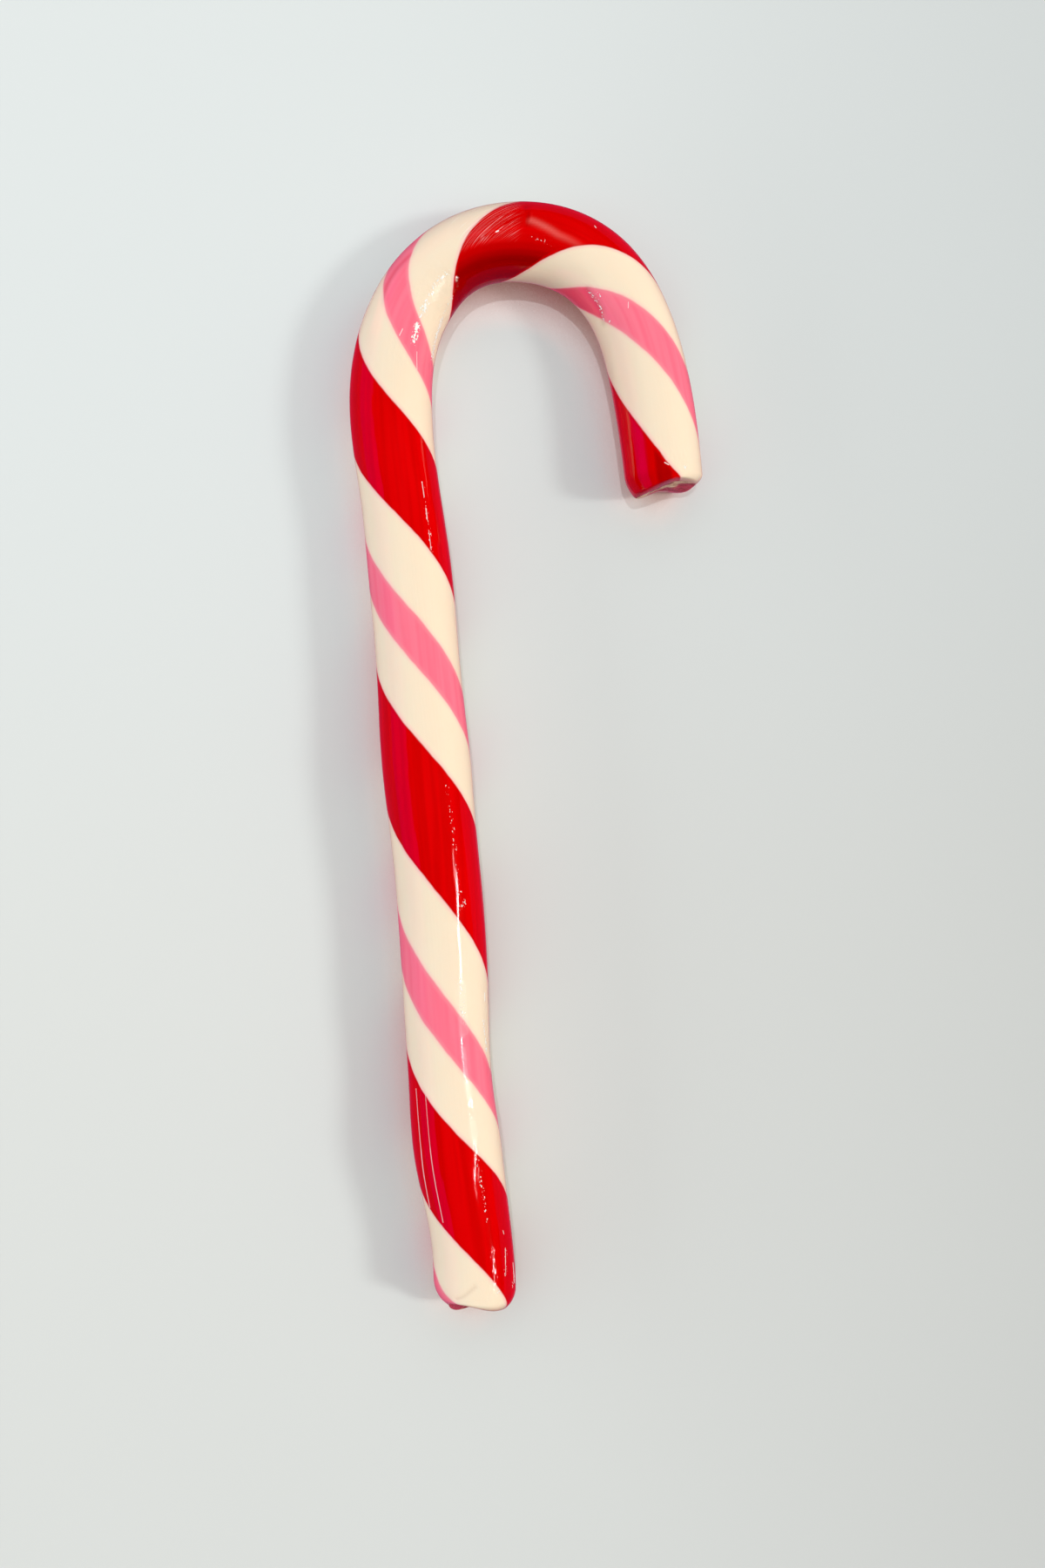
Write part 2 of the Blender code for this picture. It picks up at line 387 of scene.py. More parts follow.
# Lines along which the skin is raised in fine bumps and whitened with painted sparkles: width,
# strength and corners
SPARKLES = (
    (0.75, 1.0, ((134.4, 28), (137.0, 27))), (0.9, 1.0, ((138.4, 28), (140.8, 26.5))),
    (0.7, 0.75, ((140.8, 26.5), (146.5, 23))), (0.6, 1.2, ((132.8, 72), (139.6, 67))),
    (0.5, 0.7, ((139.6, 67), (144.5, 58))), (0.3, 0.75, ((9.0, 54), (5.8, 51))),
    (0.3, 0.7, ((22.6, 26), (13.4, 28))), (0.5, 1.0, ((40.4, 64), (36.0, 69))),
    (0.35, 0.5, ((114.2, 36), (105.0, 38))), (0.5, 0.6, ((56.4, 30), (57.0, 37))),
    (0.5, 0.3, ((58.0, 31), (73.0, 25))), (0.45, 0.8, ((6.4, 74), (4.2, 75))),
    (0.6, 0.6, ((3.9, 38), (3.4, 39))), (0.7, 0.6, ((46.4, 26), (40.8, 26))),
    (0.5, 0.8, ((172.4, 42), (175.6, 42), (177.6, 50))), (0.4, 0.6, ((173.4, 31), (174.6, 33))),
    (0.55, 0.75, ((200.4, -28), (201.0, -29))), (0.4, 0.7, ((202.0, -64), (202.6, -66))),
    (0.5, 0.25, ((160.4, 6), (163.6, 10))),
)


def nick_lines(stations, turn):
    """Each place as its nearest nick sees it: across it, along it and half its length, all in
    the nick's widths, and how bright the nick's painted glint is."""
    place = np.stack([np.radians(turn) * NICK_RADIUS, stations + 0 * turn], axis=-1)
    nearest = np.full(turn.shape, np.inf)
    seen = np.zeros((*turn.shape, 3))
    bright = np.zeros(turn.shape)
    for start, end, width, strength in NICKS_AND_PAINTED_GLINTS:
        first, last = (
            np.array([math.radians(degrees) * NICK_RADIUS, station])
            for station, degrees in (start, end)
        )
        length = np.linalg.norm(last - first)
        way = (last - first) / length
        away = place - (first + last) / 2
        along = away @ way
        across = away @ np.array([way[1], -way[0]])
        gap = np.hypot(across, np.maximum(np.abs(along) - length / 2, 0.0))
        closer = gap < nearest
        nearest = np.where(closer, gap, nearest)
        values = np.stack([across, along, length / 2 + 0 * along], axis=-1) / width
        seen = np.where(closer[..., None], values, seen)
        bright = np.where(closer, strength, bright)
    seen[nearest > NICK_REACH, 2] = OUT_OF_REACH
    return seen, bright


def sparkling(stations, turn):
    """How strongly each place has painted sparkles, raised and white."""
    return np.max([
        strength * on_line(stations, turn, line, width) for width, strength, line in SPARKLES
    ], axis=0)


# Unevenness of the skin and of the broken ends: height, grain on each axis, in millimetres, and
# seed, which the broken ends have one each of, below
SOFT_WAVES = (0.035, (3.2, 3.2, 40.0), 3.1)
PULLED_RIDGES = (0.012, (2.0, 2.0, 24.0), 8.7)
WRINKLES = (0.035, (1.0, 1.0, 1.3), 2.3)
BROKEN = (0.28, (0.9, 0.9, 0.7))


def uneven(points, height, grain, seed):
    """Smooth unevenness of a height, in millimetres."""
    return height * noise_field(points, grain, seed)


def relief(body, lay, turn):
    """How far the skin stands out from the plain rod, in millimetres."""
    stations = lay[..., 2]
    wrinkles = in_areas(stations, turn, WRINKLED) * uneven(lay, *WRINKLES)
    folds = sum(
        height * on_line(stations, turn, line, width) for height, width, _, line in FOLDS
    )
    return uneven(lay, *SOFT_WAVES) + uneven(body, *PULLED_RIDGES) + wrinkles + folds


def skin_wear_and_painted_light(stations, turn):
    """What the skin's material reads besides its coordinates: how worn the skin is, and where
    light and shade are painted on it.
    """
    wrinkled, scratched, dull = (
        in_areas(stations, turn, areas) for areas in (WRINKLED, SCRATCHED, DULLED)
    )
    seen, bright = nick_lines(stations, turn)
    tint = pink_painted_shade(stations, turn), shading(stations, turn), painted_reflection_streak(stations, turn)
    return {
        # Wrinkles, scratches, and on the red a painted crimson sheen above zero or painted shade
        # below it
        "wear": np.stack([wrinkled, scratched, red_painted_sheen_and_shade(stations, turn)], axis=-1),
        # Painted shade on the pink, painted shade in the furrows and at the tip, and a painted
        # reflection on the crown
        "tint": np.stack(tint, axis=-1),
        "nick": seen,
        # The painted glints' brightness, the painted sparkles, and how dulled the gloss is
        "gloss": np.stack([bright, sparkling(stations, turn), dull], axis=-1),
    }


def make_skin(rod):
    """Points and rod coordinates of every ring of the skin, how worn it is, and where light and
    shade are painted on it.
    """
    stations = ring_stations()[:, None]
    at = {name: np.interp(stations, rod["station"], values) for name, values in rod.items()}
    turns = np.linspace(0, 2 * math.pi, POINTS_ROUND, endpoint=False)[None, :]
    angles = turns + 0 * stations
    level = turns - at["twist"]
    turn = np.degrees(np.arctan2(np.sin(level), np.cos(level)))
    body = straight_coordinates(at["radius"], angles, stations)
    lay = straight_coordinates(at["radius"], level, stations)
    reach = section_radius(at["radius"], angles) + relief(body, lay, turn)
    side = reach * np.sin(level)
    up = reach * np.cos(level)
    side, up, from_foot = squeeze(side, up, stations, at["radius"], FOOT_END)
    side, up, from_hook = squeeze(side, up, ROD_LENGTH - stations, at["radius"], HOOK_END)
    along = from_foot - from_hook
    x = at["x"] + side * np.cos(at["heading"]) + along * np.sin(at["heading"])
    y = at["y"] - side * np.sin(at["heading"]) + along * np.cos(at["heading"])
    z = np.maximum(at["radius"] - FLAT_DEPTH + up, 0.0)
    coordinates = {"body": body, "lay": lay, **skin_wear_and_painted_light(stations, turn)}
    return np.stack([x, y, z], axis=-1), coordinates


# The broken ends: the powers by which their rings close up, sink and grow rough inwards, their
# seeds, and the ring that says which way is inwards
CUT_CLOSING = 0.8
CUT_SINKING = 3
CUT_ROUGHENING = 0.5
CUT_SEEDS = (5.3, 9.1)
CUT_WAY_RING = 12


def make_cut(rim, coordinates, inward, dish, seed):
    """The broken face inside one rim: rings that shrink to its middle, sunk and rough."""
    middle = rim.mean(axis=0)
    shares = np.cos(np.linspace(0, math.pi / 2, CUT_RINGS + 1))[1:-1] ** CUT_CLOSING
    points = []
    for share in shares:
        flat = middle + (rim - middle) * share
        sunk = dish * (1 - share ** CUT_SINKING)
        rough = uneven(flat, *BROKEN, seed) * (1 - share) ** CUT_ROUGHENING
        points.append(flat + inward * (sunk + rough)[:, None])
    shrink = np.stack([shares, shares, 1 + 0 * shares], axis=-1)[:, None, :]
    cut = {
        name: values * shrink if name in ("body", "lay") else 0 * values * shrink
        for name, values in coordinates.items()
    }
    return np.array(points), cut, middle + inward * dish


def make_cuts(skin, coordinates):
    """The broken faces at the foot and at the hook's tip."""
    for end, step, shape, seed in zip((0, -1), (1, -1), (FOOT_END, HOOK_END), CUT_SEEDS):
        way = skin[end + step * CUT_WAY_RING].mean(axis=0) - skin[end].mean(axis=0)
        rim = {name: values[end] for name, values in coordinates.items()}
        yield make_cut(skin[end], rim, way / np.linalg.norm(way), shape["dish"], seed)


def cane_faces(rings, foot_rings, hook_rings):
    """Quads between the rings and a fan at each end, and which of them are broken faces."""
    count = POINTS_ROUND
    first = np.arange(rings - 1)[:, None] * count
    here = np.arange(count)[None, :]
    beside = (here + 1) % count
    quads = np.stack(
        [first + here, first + beside, first + count + beside, first + count + here], axis=-1
    ).reshape(-1, 4)
    broken = np.zeros((rings - 1, count), bool)
    broken[:foot_rings] = True
    broken[-hook_rings:] = True
    centre = rings * count
    last = (rings - 1) * count
    fans = [(centre, (i + 1) % count, i) for i in range(count)]
    fans += [(centre + 1, last + i, last + (i + 1) % count) for i in range(count)]
    faces = [tuple(quad) for quad in quads.tolist()] + fans
    return faces, list(broken.reshape(-1)) + [True] * len(fans)


def cane_arrays():
    """Every point of the cane, its coordinates, how worn it is and where light and shade are
    painted on it, its faces, and which are broken.
    """
    skin, coordinates = make_skin(trace_rod())
    (foot, foot_cut, foot_centre), (hook, hook_cut, hook_centre) = make_cuts(skin, coordinates)
    rings = np.concatenate([foot[::-1], skin, hook])
    points = np.concatenate([rings.reshape(-1, 3), [foot_centre, hook_centre]])
    for name, values in coordinates.items():
        whole = np.concatenate([foot_cut[name][::-1], values, hook_cut[name]])
        centres = np.zeros((2, 3))
        if name in ("body", "lay"):
            centres[1, 2] = ROD_LENGTH
        coordinates[name] = np.concatenate([whole.reshape(-1, 3), centres])
    return points, coordinates, *cane_faces(len(rings), len(foot), len(hook))


def set_on_frame(points):
    """The points in metres, with the middle of their box over the CAD node's."""
    low, high = (np.array(corner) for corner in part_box(NODE))
    points = points * MM
    middle = (points.max(axis=0) + points.min(axis=0)) / 2
    points[:, :2] += ((low + high) / 2 - middle)[:2]
    points[:, 2] += low[2] - points[:, 2].min()
    return points


def add_coordinates(mesh, name, values):
    attribute = mesh.attributes.new(name, "FLOAT_VECTOR", "POINT")
    attribute.data.foreach_set("vector", values.astype(np.float32).ravel())


def build_cane(skin_material, cut_material):
    points, coordinates, faces, is_cut = cane_arrays()
    mesh = bpy.data.meshes.new("candy cane skin")
    mesh.from_pydata(set_on_frame(points).tolist(), [], faces)
    for name, values in coordinates.items():
        add_coordinates(mesh, name, values)
    mesh.materials.append(skin_material)
    mesh.materials.append(cut_material)
    mesh.polygons.foreach_set("material_index", np.array(is_cut, dtype=np.int32))
    mesh.polygons.foreach_set("use_smooth", np.ones(len(faces), dtype=bool))
    mesh.update()
    cane = bpy.data.objects.new("candy_cane_sugar", mesh)
    bpy.context.scene.collection.objects.link(cane)
    return cane


# ---------------------------------------------------------------- materials


def linear(red, green, blue):
    """A colour given as the eye reads it, 0 to 255, as linear light."""
    shares = [value / 255 for value in (red, green, blue)]
    return tuple(s / 12.92 if s <= 0.04045 else ((s + 0.055) / 1.055) ** 2.4 for s in shares)


CREAM = linear(247, 227, 204)
# The pink of a painted glow, as if light through the red and pink sugar spread into the cream
CREAM_PAINTED_GLOW = linear(252, 205, 197)
RED_SUGAR = linear(209, 0, 0)
RED_EDGE = linear(200, 0, 6)
RED_BRIGHT = linear(222, 0, 2)
# The crimson of a painted reflection on the red
PAINTED_CRIMSON_SHEEN = linear(216, 0, 42)
PINK_SUGAR = linear(254, 115, 141)
PINK_EDGE = linear(250, 138, 155)
PINK_BRIGHT = linear(255, 126, 149)
# The pale colour of the painted reflection on the crown
PAINTED_REFLECTION_COLOUR = linear(255, 160, 150)
WINE = linear(196, 76, 96)
CUT_CREAM = linear(232, 203, 172)
CUT_RED = linear(150, 8, 26)
WHITE = (1.0, 1.0, 1.0)
BLACK = (0.0, 0.0, 0.0)
# What the colours are multiplied by: as painted shade at the pinched ends, on the red, on the pink
# and in the furrows, and in the mottle of the broken faces
PAINTED_END_SHADE_TINT = (0.66, 0.56, 0.48)
PAINTED_RED_SHADE_TINT = (0.50, 0.3, 0.3)
PINK_SHADE_TINT = (0.92, 0.34, 0.46)
SHADE_AND_MOTTLE_TINT = (0.62, 0.52, 0.46)

# In a material a span is two levels between which something changes, from nothing to full or
# between two more values that follow. Grains and heights are in millimetres.
#
# The stripes' spans are how far inside the edge a place is, below zero outside it. They run on
# a slant, so a step across one is only PITCH_SHARE of the same step round the rod.
STRIPE_RADIUS = 5.7
PITCH_SHARE = 0.82
WANDER_GRAIN = (1.5, 1.5, 2.5)
WANDER = 0.3
CUT_WANDER = 1.4
# Painted glow: how far outside a stripe's edge the cream is tinted pink, how much of it the pink
# gives, and how sharply it fades
EDGE_GLOW_SPAN = (-0.9, 0.0)
PINK_EDGE_GLOW_SHARE = 0.8
EDGE_GLOW_POWER = 2.0
STREAK_GRAIN = (0.9, 0.9, 26.0)
STREAK_SPAN = (0.32, 0.7)
RED_RIM_SPAN = (0.0, 0.45)
PINK_RIM_SPAN = (0.1, 0.7)
RED_EDGE_SPAN = (-0.12, 0.12)
PINK_EDGE_SPAN = (-0.16, 0.16)
RED_SHEEN_AND_SHADE_SPAN = (0.0, 0.6)
PINK_SHADE_SPAN = (0.0, 0.3)
# Stations over which shade is painted where the pinched ends round over, and how much
FOOT_SHADE_SPAN = (0.0, 1.6, 1.0, 0.0)
TIP_SHADE_SPAN = (ROD_LENGTH - 0.5, ROD_LENGTH, 0.0, 0.7)
# How much the painted reflection streak and the scratches whiten the colour
REFLECTION_STREAK_SHARE = 0.3
SCRATCH_SHARE = 0.25
# Scratches: how far they slant, their grain across and along them, their seed, and how far from
# the noise's middle level they end
SCRATCH_HEADING = 34.0
SCRATCH_GRAIN = (0.30, 14.0, 1.0)
SCRATCH_SEED = 4.0
SCRATCH_SPAN = (0.0, 0.025, 1.0, 0.0)
# Nicks: how far from their middle line they end, in their widths
NICK_SPAN = (0.2, 0.6, 1.0, 0.0)
# Painted sparkles, white in the colour: their grain, how much the sparkling raises its level, the
# levels between which a grain comes to sparkle, and how much sparkling a place needs for any
SPARKLE_GRAIN = (0.22, 0.22, 0.36)
SPARKLE_GAIN = 0.26
SPARKLE_SPAN = (0.70, 0.80)
SPARKLING_SPAN = (0.05, 0.25)
# Roughness of the clear gloss, of scratches and of dulled places
GLOSS_GRAIN = (0.6, 0.6, 5.0)
GLOSS_SPAN = (0.3, 0.7, 0.03, 0.06)
SCRATCH_ROUGHNESS = 0.35
DULL_ROUGHNESS = 0.5
# The finest relief, which only the material has
PULLED_GRAIN = (0.5, 0.5, 40.0)
PULLED_HEIGHT = 0.016
SPECKLE_GRAIN = (0.45, 0.45, 0.8)
SPECKLE_HEIGHT = 0.001
WRINKLED_HEIGHT = 0.07
SCRATCH_HEIGHT = 0.012
NICK_HEIGHT = 0.05
# Boiled sugar: how it bends light, how much light spreads inside it, and how far, in parts of
# SUGAR_SCALE millimetres for each of its colours
SUGAR_IOR = 1.5
SUGAR_GLOW = 0.25
SUGAR_REACH = (1.0, 0.7, 0.6)
SUGAR_SCALE = 1.2
# The broken faces: the foot's wine colour, which takes the place of its pink, reaches further
# round than the tip's, and the mottle draws the rim's colours in towards the cream middle
FOOT_WINE_SPAN = (50.0, 150.0, 2.6, 0.0)
MOTTLE_GRAIN = (0.9, 0.9, 0.9)
CUT_RED_SPAN = (-0.4, 0.4)
CUT_WINE_SPAN = (-4.4, -3.2)
DRAWN_IN = 2.4
CUT_RIM_SPAN = (2.4, 3.8)
CUT_MOTTLE_SPAN = (0.45, 0.7)
CUT_ROUGHNESS_SPAN = (0.3, 0.7, 0.12, 0.4)
CUT_GRAIN = (0.35, 0.35, 0.35)
CUT_HEIGHT = 0.05


class Nodes:
    """Short ways to add and link the nodes of one material or world."""

    def __init__(self, owner, shader="Principled BSDF"):
        owner.use_nodes = True
        self.owner = owner
        self.tree = owner.node_tree
        self.shader = self.tree.nodes[shader]

    def add(self, kind, inputs=(), **settings):
        node = self.tree.nodes.new(kind)
        for name, value in settings.items():
            setattr(node, name, value)
        for name, value in dict(inputs).items():
            self.feed(value, node.inputs[name])
        return node

    def feed(self, value, socket):
        if isinstance(value, bpy.types.NodeSocket):
            self.tree.links.new(value, socket)
        elif isinstance(value, tuple) and len(value) == 3 and socket.type == "RGBA":
            socket.default_value = (*value, 1.0)
        else:
            socket.default_value = value

    def math(self, operation, *values):
        """The outcome of a sum, product or the like of numbers."""
        return self.add("ShaderNodeMath", enumerate(values), operation=operation).outputs[0]

    def length(self, first, second):
        """The length of a step from its two parts."""
        squares = (self.math("MULTIPLY", part, part) for part in (first, second))
        return self.math("SQRT", self.math("ADD", *squares))

    def attribute(self, name):
        return self.add("ShaderNodeAttribute", attribute_name=name).outputs["Vector"]

    def split(self, vector):
        return self.add("ShaderNodeSeparateXYZ", {0: vector}).outputs

    def stretch(self, vector, size):
        """The vector divided by size on each axis, so that noise has grains of that size."""
        scale = tuple(1 / length for length in size)
        return self.add(
            "ShaderNodeVectorMath", {0: vector, 1: scale}, operation="MULTIPLY"
        ).outputs[0]

    def noise(self, vector, size, detail=2.0):
        """Noise about 0.5, with grains of the given size on each axis."""
        inputs = {"Vector": self.stretch(vector, size), "Scale": 1.0, "Detail": detail}
        return self.add("ShaderNodeTexNoise", inputs).outputs["Fac"]

    def span(self, value, low, high, to_low=0.0, to_high=1.0):
        """The value eased from to_low at low to to_high at high, and level outside."""
        inputs = {
            "Value": value, "From Min": low, "From Max": high, "To Min": to_low, "To Max": to_high
        }
        return self.add("ShaderNodeMapRange", inputs, interpolation_type="SMOOTHSTEP").outputs[0]

    def blend(self, share, first, second):
        """A colour between first, at share 0, and second, at share 1."""
        inputs = {0: share, 6: first, 7: second}
        return self.add("ShaderNodeMix", inputs, data_type="RGBA").outputs[2]

    def tinted(self, share, colour, tint):
        """The colour multiplied by a tint, as far as share says."""
        inputs = {0: share, 6: colour, 7: tint}
        node = self.add("ShaderNodeMix", inputs, data_type="RGBA", blend_type="MULTIPLY")
        return node.outputs[2]

    def finish(self, inputs):
        """The material or world, with its shader's inputs fed."""
        for name, value in inputs.items():
            self.feed(value, self.shader.inputs[name])
        return self.owner


def sugar(nodes, colour, roughness, height):
    """Boiled sugar. height is a fine relief in millimetres."""
    bump = nodes.add("ShaderNodeBump", {"Height": height, "Distance": MM, "Strength": 1.0})
    return nodes.finish({
        "Base Color": colour, "Roughness": roughness, "Normal": bump.outputs[0],
        "IOR": SUGAR_IOR, "Subsurface Weight": SUGAR_GLOW, "Subsurface Radius": SUGAR_REACH,
        "Subsurface Scale": SUGAR_SCALE * MM,
    })


def inside_stripe(nodes, turn, stripe):
    """How far a place is inside a stripe's edge, in millimetres; outside it is negative."""
    middle, half = math.radians(sum(stripe) / 2), math.radians(stripe[1] - stripe[0]) / 2
    away = nodes.math("WRAP", nodes.math("SUBTRACT", turn, middle), math.pi, -math.pi)
    inside = nodes.math("SUBTRACT", half, nodes.math("ABSOLUTE", away))
    return nodes.math("MULTIPLY", inside, STRIPE_RADIUS * PITCH_SHARE)


def stripe_shares(nodes, body, wander):
    """How far each place is inside the red and the pink stripe, whose edges wander a little."""
    across, up, _ = nodes.split(body)
    turn = nodes.math("ARCTAN2", across, up)
    ragged = nodes.noise(body, WANDER_GRAIN)
    wobble = nodes.math("MULTIPLY_ADD", ragged, wander, -wander / 2)
    in_red = nodes.math("ADD", inside_stripe(nodes, turn, RED), wobble)
    in_pink = nodes.math("ADD", inside_stripe(nodes, turn, PINK), wobble)
    return in_red, in_pink


def stripe_colour(nodes, lay, in_red, in_pink):
    """The cream, red and pink of the rod, with a painted glow where light from the red and pink
    edges seems to spread into the cream.
    """
    # Painted glow from the red and pink edges into the cream beside them
    pink_edge_glow = nodes.math("MULTIPLY", nodes.span(in_pink, *EDGE_GLOW_SPAN), PINK_EDGE_GLOW_SHARE)
    painted_edge_glow = nodes.math("MAXIMUM", nodes.span(in_red, *EDGE_GLOW_SPAN), pink_edge_glow)
    painted_edge_glow = nodes.math("POWER", painted_edge_glow, EDGE_GLOW_POWER)
    cream = nodes.blend(painted_edge_glow, CREAM, CREAM_PAINTED_GLOW)
    streaks = nodes.span(nodes.noise(lay, STREAK_GRAIN, detail=1.0), *STREAK_SPAN)
    red = nodes.blend(streaks, RED_SUGAR, RED_BRIGHT)
    red = nodes.blend(nodes.span(in_red, *RED_RIM_SPAN), RED_EDGE, red)
    pink = nodes.blend(streaks, PINK_SUGAR, PINK_BRIGHT)
    pink = nodes.blend(nodes.span(in_pink, *PINK_RIM_SPAN), PINK_EDGE, pink)
    colour = nodes.blend(nodes.span(in_red, *RED_EDGE_SPAN), cream, red)
    return nodes.blend(nodes.span(in_pink, *PINK_EDGE_SPAN), colour, pink)


def scratch_lines(nodes, across, up, station):
    """Fine scratches that run one way over the unrolled skin: 1 on a scratch, 0 beside it."""
    arc = nodes.math("MULTIPLY", nodes.math("ARCTAN2", across, up), NICK_RADIUS)
    unrolled = nodes.add("ShaderNodeCombineXYZ", {0: arc, 1: station}).outputs[0]
    inputs = {
        "Vector": unrolled, "Rotation": (0.0, 0.0, math.radians(SCRATCH_HEADING)),
        "Scale": SCRATCH_GRAIN, "Location": (SCRATCH_SEED,) * 3,
    }
    turned = nodes.add("ShaderNodeMapping", inputs, vector_type="TEXTURE").outputs[0]
    inputs = {"Vector": turned, "Scale": 1.0, "Detail": 1.0}
    level = nodes.add("ShaderNodeTexNoise", inputs).outputs["Fac"]
    off_line = nodes.math("ABSOLUTE", nodes.math("SUBTRACT", level, 0.5))
    return nodes.span(off_line, *SCRATCH_SPAN)


def on_nicks(nodes):
    """One on each nick and zero beside it, from its nearest nick's view of each place."""
    across, along, half = nodes.split(nodes.attribute("nick"))
    beyond = nodes.math("SUBTRACT", nodes.math("ABSOLUTE", along), half)
    beyond = nodes.math("MAXIMUM", beyond, 0.0)
    return nodes.span(nodes.length(across, beyond), *NICK_SPAN)


def painted_glints_and_nicks(nodes, lay, bright, sparkling):
    """Painted glints and sparkles, white in the colour: the nicks, as bright as each of them is,
    and the sparkles.
    """
    nicks = nodes.math("MULTIPLY", on_nicks(nodes), bright)
    grains = nodes.noise(lay, SPARKLE_GRAIN, detail=1.0)
    sparkles = nodes.math("MULTIPLY_ADD", sparkling, SPARKLE_GAIN, grains)
    sparkles = nodes.span(sparkles, *SPARKLE_SPAN)
    sparkles = nodes.math("MULTIPLY", sparkles, nodes.span(sparkling, *SPARKLING_SPAN))
    return nodes.math("MAXIMUM", nicks, sparkles)


def skin_colour(nodes, lay, station, red_painted_sheen_and_shade, lines, glints_and_nicks):
    """The stripes' colours, with painted shade, sheen, reflection, glints and sparkles, and
    whitened where the skin is scratched.
    """
    # Painted shade on the pink, painted shade on all colours, and the painted pale reflection
    pink_shade, shaded, pale = nodes.split(nodes.attribute("tint"))
    in_red, in_pink = stripe_shares(nodes, nodes.attribute("body"), WANDER)
    colour = stripe_colour(nodes, lay, in_red, in_pink)
    red_painted_sheen_and_shade = nodes.math("MULTIPLY", red_painted_sheen_and_shade, nodes.span(in_red, *RED_SHEEN_AND_SHADE_SPAN))
    # Painted crimson sheen, a painted reflection, where the value is above zero
    colour = nodes.blend(nodes.span(red_painted_sheen_and_shade, 0.0, 1.0), colour, PAINTED_CRIMSON_SHEEN)
    # Painted shade on the red where the value is below zero
    colour = nodes.tinted(nodes.span(red_painted_sheen_and_shade, 0.0, -1.0), colour, PAINTED_RED_SHADE_TINT)
    # Painted shade where the pinched ends round over
    pinched = nodes.math(
        "MAXIMUM", nodes.span(station, *FOOT_SHADE_SPAN), nodes.span(station, *TIP_SHADE_SPAN)
    )
    colour = nodes.tinted(pinched, colour, PAINTED_END_SHADE_TINT)
    # Painted shade on the pink, where a facet and a fold turn away from the light
    pink_shade = nodes.math("MULTIPLY", pink_shade, nodes.span(in_pink, *PINK_SHADE_SPAN))
    colour = nodes.tinted(pink_shade, colour, PINK_SHADE_TINT)
    # Painted shade in the furrows and at the tip
    colour = nodes.tinted(shaded, colour, SHADE_AND_MOTTLE_TINT)
    # Painted reflection: the pale streak along the crown
    colour = nodes.blend(nodes.math("MULTIPLY", pale, REFLECTION_STREAK_SHARE), colour, PAINTED_REFLECTION_COLOUR)
    colour = nodes.blend(nodes.math("MULTIPLY", lines, SCRATCH_SHARE), colour, WHITE)
    # Painted glints and sparkles, white on the nicks and the sparkling lines
    return nodes.blend(glints_and_nicks, colour, WHITE)


def skin_roughness(nodes, lay, lines, dull):
    """Clear gloss, rougher on scratches and where it is dulled."""
    gloss = nodes.span(nodes.noise(lay, GLOSS_GRAIN, detail=3.0), *GLOSS_SPAN)
    rough = nodes.math("MAXIMUM", gloss, nodes.math("MULTIPLY", lines, SCRATCH_ROUGHNESS))
    return nodes.math("MAXIMUM", rough, nodes.math("MULTIPLY", dull, DULL_ROUGHNESS))


def skin_height(nodes, lay, wrinkled, lines, glints_and_nicks):
    """The fine relief of the skin, in millimetres."""
    height = nodes.math("MULTIPLY", nodes.noise(lay, PULLED_GRAIN, detail=1.0), PULLED_HEIGHT)
    speckle = nodes.noise(lay, SPECKLE_GRAIN, detail=1.0)
    strength = nodes.math("MULTIPLY_ADD", wrinkled, WRINKLED_HEIGHT, SPECKLE_HEIGHT)
    height = nodes.math("ADD", height, nodes.math("MULTIPLY", speckle, strength))
    height = nodes.math("ADD", height, nodes.math("MULTIPLY", lines, SCRATCH_HEIGHT))
    return nodes.math("ADD", height, nodes.math("MULTIPLY", glints_and_nicks, NICK_HEIGHT))


def skin_material():
    """Pulled sugar. Cycles shows a material black if it grows much larger than this one, so the
    shapes of nicks, folds, worn areas and painted light and shade are kept on the mesh."""
    nodes = Nodes(bpy.data.materials.new("pulled sugar"))
    lay = nodes.attribute("lay")
    across, up, station = nodes.split(lay)
    # The third of these is painted light on the red: a crimson sheen above zero, shade below it
    wrinkled, scratched, red_painted_sheen_and_shade = nodes.split(nodes.attribute("wear"))
    # Painted glint brightness, painted sparkles, and dulled gloss
    bright, sparkling, dull = nodes.split(nodes.attribute("gloss"))
    lines = nodes.math("MULTIPLY", scratch_lines(nodes, across, up, station), scratched)
    glints_and_nicks = painted_glints_and_nicks(nodes, lay, bright, sparkling)
    return sugar(
        nodes,
        skin_colour(nodes, lay, station, red_painted_sheen_and_shade, lines, glints_and_nicks),
        skin_roughness(nodes, lay, lines, dull),
        skin_height(nodes, lay, wrinkled, lines, glints_and_nicks),
    )


def cut_material():
    """Broken sugar: the stripes' colours drawn in over it, darker, and its cream middle."""
    nodes = Nodes(bpy.data.materials.new("broken sugar"))
    body = nodes.attribute("body")
    in_red, in_pink = stripe_shares(nodes, body, CUT_WANDER)
    across, up, station = nodes.split(body)
    in_wine = nodes.math("ADD", in_pink, nodes.span(station, *FOOT_WINE_SPAN))
    mottle = nodes.noise(body, MOTTLE_GRAIN, detail=3.0)
    rim = nodes.blend(nodes.span(in_red, *CUT_RED_SPAN), CUT_CREAM, CUT_RED)
    rim = nodes.blend(nodes.span(in_wine, *CUT_WINE_SPAN), rim, WINE)
    reach = nodes.math("MULTIPLY_ADD", mottle, DRAWN_IN, nodes.length(across, up))
    colour = nodes.blend(nodes.span(reach, *CUT_RIM_SPAN), CUT_CREAM, rim)
    # A random mottle of the broken sugar, darker in places
    colour = nodes.tinted(nodes.span(mottle, *CUT_MOTTLE_SPAN), colour, SHADE_AND_MOTTLE_TINT)
    height = nodes.math("MULTIPLY", nodes.noise(body, CUT_GRAIN, detail=3.0), CUT_HEIGHT)
    return sugar(nodes, colour, nodes.span(mottle, *CUT_ROUGHNESS_SPAN), height)


# ---------------------------------------------------------------- floor, light and camera

FLOOR_WIDTH = 3.0
